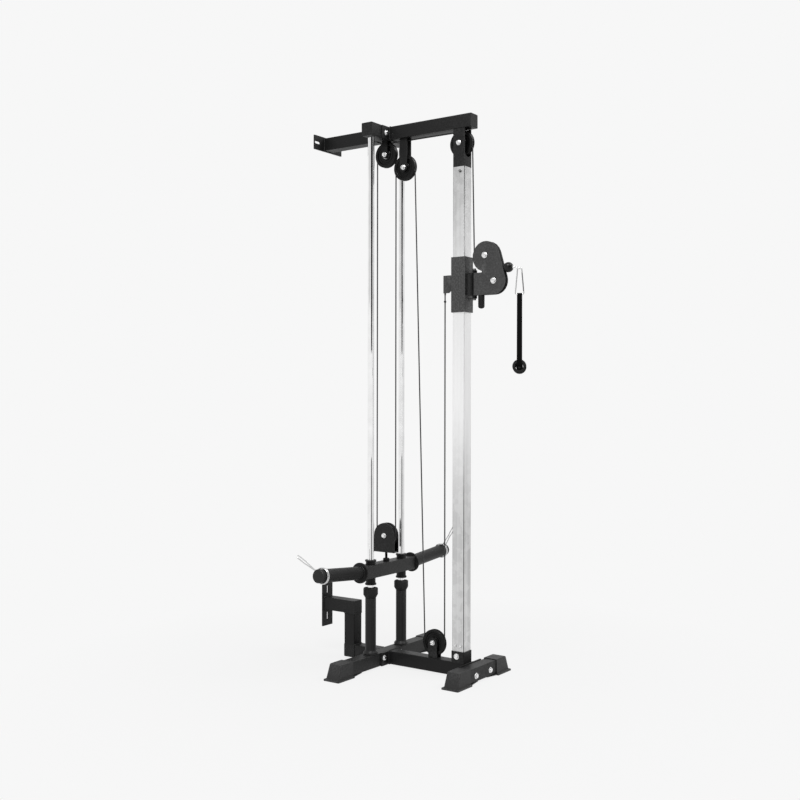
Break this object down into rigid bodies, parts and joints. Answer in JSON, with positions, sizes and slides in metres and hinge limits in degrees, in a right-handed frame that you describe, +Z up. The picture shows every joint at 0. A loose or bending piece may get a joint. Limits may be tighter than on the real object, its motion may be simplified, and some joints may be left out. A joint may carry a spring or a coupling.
{
  "type": "wall-mounted cable pulley",
  "caption": "Wall-mounted cable pulley: plate-loaded carriage on guide rods, cable over pulleys, and a height-adjustable swivelling head with a strap handle.",
  "frame": {"origin": "floor level, on the middle plane, halfway between the wall face and the front of the handle", "axes": "+Z up; +Y towards the wall it is fixed to; -Y towards the user; X along the plate horns"},
  "size_m": [0.832, 0.9282, 2.063],
  "materials": {
    "powder_coat": "matte black powder coat",
    "chrome": "polished chrome plate",
    "brushed_chrome": "satin chrome plate with fine lengthwise streaks",
    "zinc": "bright zinc plate",
    "nylon": "smooth black nylon",
    "rubber": "soft black rubber",
    "plastic": "moulded black plastic",
    "liner": "natural low-friction plastic",
    "cable_coat": "black plastic coating over wire rope",
    "webbing": "black woven nylon webbing"
  },
  "bodies": {
    "frame": {"base_axle": "zinc", "base_spine": "powder_coat", "bumper_left": "rubber", "bumper_right": "rubber", "cable_base_run": "cable_coat", "cable_top_run": "cable_coat", "front_foot_shoe_left": "plastic", "front_foot_shoe_right": "plastic", "front_foot_tube": "powder_coat", "front_top_axle": "zinc", "guide_rod_left": "chrome", "guide_rod_right": "chrome", "lower_wall_bracket": "powder_coat", "middle_top_axle": "zinc", "rear_base_shoe_left": "plastic", "rear_base_shoe_right": "plastic", "rear_base_tube": "powder_coat", "rear_top_axle": "zinc", "rod_spacer_left": "powder_coat", "rod_spacer_right": "powder_coat", "top_beam": "powder_coat", "top_crossbar": "powder_coat", "upper_wall_bracket": "powder_coat", "upright": "brushed_chrome", "upright_head": "powder_coat"},
    "rear_top_wheel": {"rear_top_pulley": "nylon"},
    "middle_top_wheel": {"middle_top_pulley": "nylon"},
    "front_top_wheel": {"front_top_pulley": "nylon"},
    "base_wheel": {"base_pulley": "nylon"},
    "carriage": {"carriage_body": "powder_coat", "carriage_bushing_left": "nylon", "carriage_bushing_right": "nylon", "plate_horn_left": "powder_coat", "plate_horn_right": "powder_coat", "lifting_stud": "zinc", "floating_block": "powder_coat", "floating_axle": "zinc", "cable_carriage_loop": "cable_coat"},
    "floating_wheel": {"floating_pulley": "nylon"},
    "collar_left": {"spring_collar_left": "chrome"},
    "collar_right": {"spring_collar_right": "chrome"},
    "trolley": {"trolley_sleeve": "powder_coat", "trolley_liner": "liner", "hinge_pin": "zinc", "cable_anchor_drop": "cable_coat", "cable_front_drop": "cable_coat"},
    "locking_pin": {"pop_pin": "plastic"},
    "head": {"swivel_head": "powder_coat", "head_grip": "rubber", "head_upper_axle": "zinc", "head_lower_axle": "zinc", "cable_head_wrap": "cable_coat"},
    "head_upper_wheel": {"head_upper_pulley": "nylon"},
    "head_lower_wheel": {"head_lower_pulley": "nylon"},
    "cable_end": {"cable_eye": "zinc", "ball_stop": "rubber"},
    "hook": {"snap_hook": "chrome"},
    "gate": {"hook_gate": "chrome"},
    "handle": {"handle_strap": "webbing"},
    "hand_grip": {"handle_grip": "rubber"}
  },
  "joints": [
    {"name": "carriage_slide", "type": "slide", "parent": "frame", "child": "carriage", "axis": [0, 0, 1], "range_m": [0, 1.28], "deforming": ["cable_carriage_loop"]},
    {"name": "trolley_slide", "type": "slide", "parent": "frame", "child": "trolley", "axis": [0, 0, 1], "range_m": [-1.05, 0.3], "deforming": ["cable_anchor_drop", "cable_front_drop"]},
    {"name": "rear_top_spin", "type": "hinge", "parent": "frame", "child": "rear_top_wheel", "pos_m": [0, 0.16824, 1.959], "axis": [1, 0, 0], "continuous": true},
    {"name": "middle_top_spin", "type": "hinge", "parent": "frame", "child": "middle_top_wheel", "pos_m": [0, 0.08024, 1.8995], "axis": [1, 0, 0], "continuous": true},
    {"name": "front_top_spin", "type": "hinge", "parent": "frame", "child": "front_top_wheel", "pos_m": [0, -0.17426, 1.957], "axis": [1, 0, 0], "continuous": true},
    {"name": "base_spin", "type": "hinge", "parent": "frame", "child": "base_wheel", "pos_m": [0, -0.05626, 0.111], "axis": [1, 0, 0], "continuous": true},
    {"name": "floating_spin", "type": "hinge", "parent": "carriage", "child": "floating_wheel", "pos_m": [0, 0.16824, 0.494], "axis": [1, 0, 0], "continuous": true},
    {"name": "collar_left_slide", "type": "slide", "parent": "carriage", "child": "collar_left", "axis": [-0.9962, 0, 0.0872], "range_m": [-0.17, 0.06]},
    {"name": "collar_right_slide", "type": "slide", "parent": "carriage", "child": "collar_right", "axis": [0.9962, 0, 0.0872], "range_m": [-0.17, 0.06]},
    {"name": "pin_pull", "type": "slide", "parent": "trolley", "child": "locking_pin", "axis": [1, 0, 0], "range_m": [-0.01, 0]},
    {"name": "head_swivel", "type": "hinge", "parent": "trolley", "child": "head", "pos_m": [0, -0.22676, 1.4915], "axis": [0, 0, 1], "range_deg": [-80, 80]},
    {"name": "head_upper_spin", "type": "hinge", "parent": "head", "child": "head_upper_wheel", "pos_m": [0, -0.27576, 1.5405], "axis": [1, 0, 0], "continuous": true},
    {"name": "head_lower_spin", "type": "hinge", "parent": "head", "child": "head_lower_wheel", "pos_m": [0, -0.31276, 1.4465], "axis": [1, 0, 0], "continuous": true},
    {"name": "cable_pull", "type": "slide", "parent": "head", "child": "cable_end", "axis": [0, -1, 0], "range_m": [0, 2.56]},
    {"name": "hook_swing", "type": "hinge", "parent": "cable_end", "child": "hook", "pos_m": [0, -0.41408, 1.48242], "axis": [1, 0, 0], "range_deg": [-70, 4]},
    {"name": "gate_open", "type": "hinge", "parent": "hook", "child": "gate", "pos_m": [0.00685, -0.42668, 1.40194], "axis": [0.8788, 0.4772, 0], "range_deg": [-9, 0], "stiffness_Nm_per_rad": 0.02, "springref_deg": 20.05},
    {"name": "handle_swing", "type": "hinge", "parent": "hook", "child": "handle", "pos_m": [0, -0.41408, 1.39152], "axis": [0.4772, -0.8788, 0], "range_deg": [-20, 20]},
    {"name": "grip_spin", "type": "hinge", "parent": "handle", "child": "hand_grip", "pos_m": [0, -0.41408, 1.136], "axis": [0.8788, 0.4772, 0], "continuous": true}
  ],
  "couplings": [
    {"joint": "cable_pull", "follows": "carriage_slide", "ratio": 2},
    {"joint": "rear_top_spin", "follows": "carriage_slide", "rad_per_m": 45.455},
    {"joint": "front_top_spin", "follows": "carriage_slide", "rad_per_m": 45.455},
    {"joint": "floating_spin", "follows": "carriage_slide", "rad_per_m": 22.727},
    {"joint": "head_upper_spin", "follows": "carriage_slide", "rad_per_m": -40.816},
    {"joint": "head_lower_spin", "follows": "carriage_slide", "rad_per_m": 44.444},
    {"joint": "middle_top_spin", "follows": "trolley_slide", "rad_per_m": 22.727},
    {"joint": "base_spin", "follows": "trolley_slide", "rad_per_m": -22.727}
  ]
}
